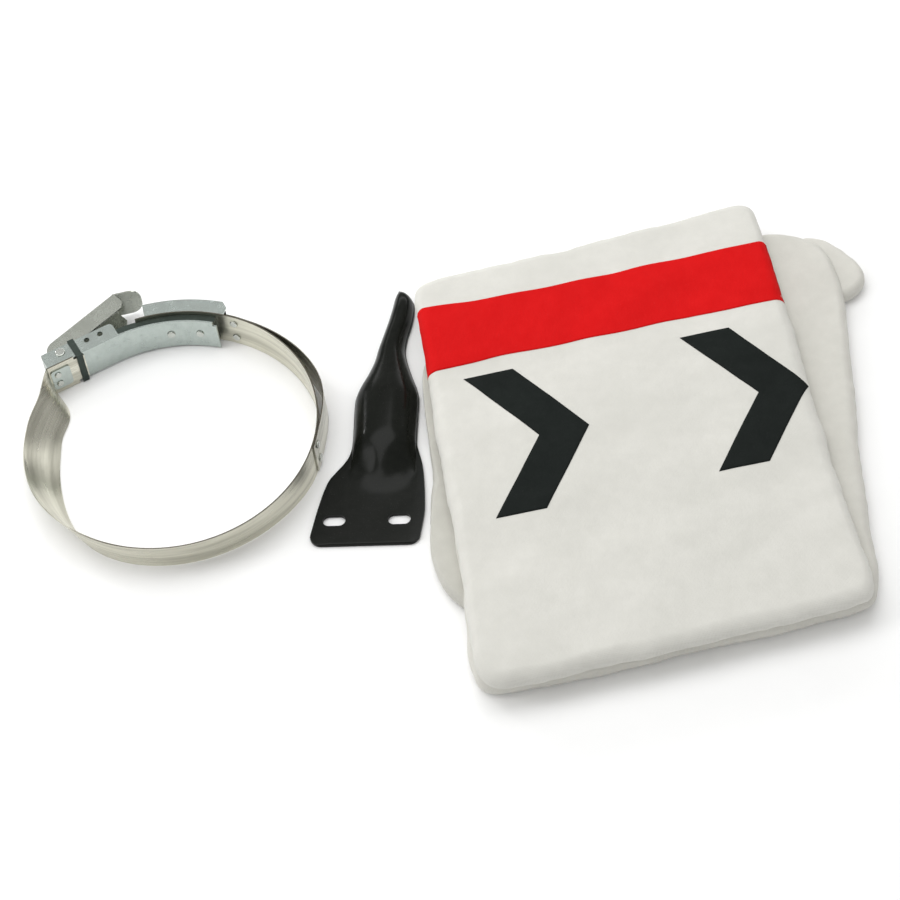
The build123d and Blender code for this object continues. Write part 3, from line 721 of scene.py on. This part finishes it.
# ---------------------------------------------------------------- stage, light and camera

def floor():
    bpy.ops.mesh.primitive_plane_add(size=16.0, location=(0, 0, -0.0004))
    obj = bpy.context.object
    obj.name = "floor"
    n = Nodes("floor_white")
    grain = n.noise(n.place(), 60.0, 2.0)
    n.finish(Base_Color=n.mix(n.spread(grain, 0.0, 1.0), (0.97, 0.97, 0.97), (0.96, 0.96, 0.96)),
             Roughness=0.85, Specular_IOR_Level=0.2)
    obj.data.materials.append(n.material)


def softbox(name, place, aim, size, power):
    data = bpy.data.lights.new(name, "AREA")
    data.shape = "RECTANGLE"
    data.size, data.size_y = size
    data.energy = power
    obj = bpy.data.objects.new(name, data)
    obj.location = place
    direction = Vector(aim) - Vector(place)
    obj.rotation_euler = direction.to_track_quat("-Z", "Y").to_euler()
    bpy.context.scene.collection.objects.link(obj)


floor()
softbox("overhead", place=(-0.25, 0.35, 1.9), aim=(0, 0, 0), size=(1.8, 1.4), power=17.0)
softbox("left_strip", place=(-1.5, -0.2, 0.9), aim=(-0.1, 0, 0), size=(0.5, 1.6), power=7.5)
softbox("back_strip", place=(0.1, 1.5, 0.8), aim=(0, 0, 0), size=(2.2, 0.35), power=6.0)
softbox("thin_strip", place=(-1.0, 0.72, 0.33), aim=(-0.04, 0.02, 0.01), size=(0.06, 0.5),
        power=3.0)
softbox("front_fill", place=(0.9, -1.7, 1.6), aim=(0.1, 0, 0), size=(1.4, 1.0), power=4.0)

# The surroundings: grey at the horizon, light overhead and below.
world = bpy.data.worlds.new("studio")
world.use_nodes = True
bpy.context.scene.world = world
world_nodes = world.node_tree.nodes
background = world_nodes["Background"]
coordinates = world_nodes.new("ShaderNodeTexCoord")
split = world_nodes.new("ShaderNodeSeparateXYZ")
sky = world_nodes.new("ShaderNodeValToRGB")
stops = ((0.0, 0.95), (0.46, 0.55), (0.56, 0.30), (0.72, 0.75), (1.0, 1.0))
while len(sky.color_ramp.elements) < len(stops):
    sky.color_ramp.elements.new(0.5)
for element, (position, grey) in zip(sky.color_ramp.elements, stops):
    element.position = position
    element.color = (grey, grey, grey * 0.99, 1.0)
half = world_nodes.new("ShaderNodeMapRange")
half.inputs["From Min"].default_value = -1.0
world.node_tree.links.new(coordinates.outputs["Generated"], split.inputs[0])
world.node_tree.links.new(split.outputs[2], half.inputs["Value"])
world.node_tree.links.new(half.outputs[0], sky.inputs[0])
world.node_tree.links.new(sky.outputs[0], background.inputs["Color"])
background.inputs["Strength"].default_value = 0.66

bpy.context.scene.view_settings.view_transform = "Standard"

# The photo's camera: where it stands, and its swing, tilt and roll in degrees.
CAMERA_PLACE = (0.183085, -1.120148, 1.461)
CAMERA_TURNS = (9.1, 52.0, -9.0)

camera_data = bpy.data.cameras.new("camera")
camera_data.lens = 120.0
camera_data.sensor_width = 36.0
camera_data.clip_end = 20.0
camera = bpy.data.objects.new("camera", camera_data)
swing, tilt, roll = (math.radians(d) for d in CAMERA_TURNS)
right = Vector((math.cos(swing), math.sin(swing), 0))
up = Vector((-math.sin(swing) * math.sin(tilt), math.cos(swing) * math.sin(tilt), math.cos(tilt)))
forward = up.cross(right)
camera_x = right * math.cos(roll) + up * math.sin(roll)
camera_y = up * math.cos(roll) - right * math.sin(roll)
turned = Matrix((camera_x, camera_y, -forward)).transposed().to_4x4()
camera.matrix_world = Matrix.Translation(CAMERA_PLACE) @ turned
bpy.context.scene.collection.objects.link(camera)
bpy.context.scene.camera = camera
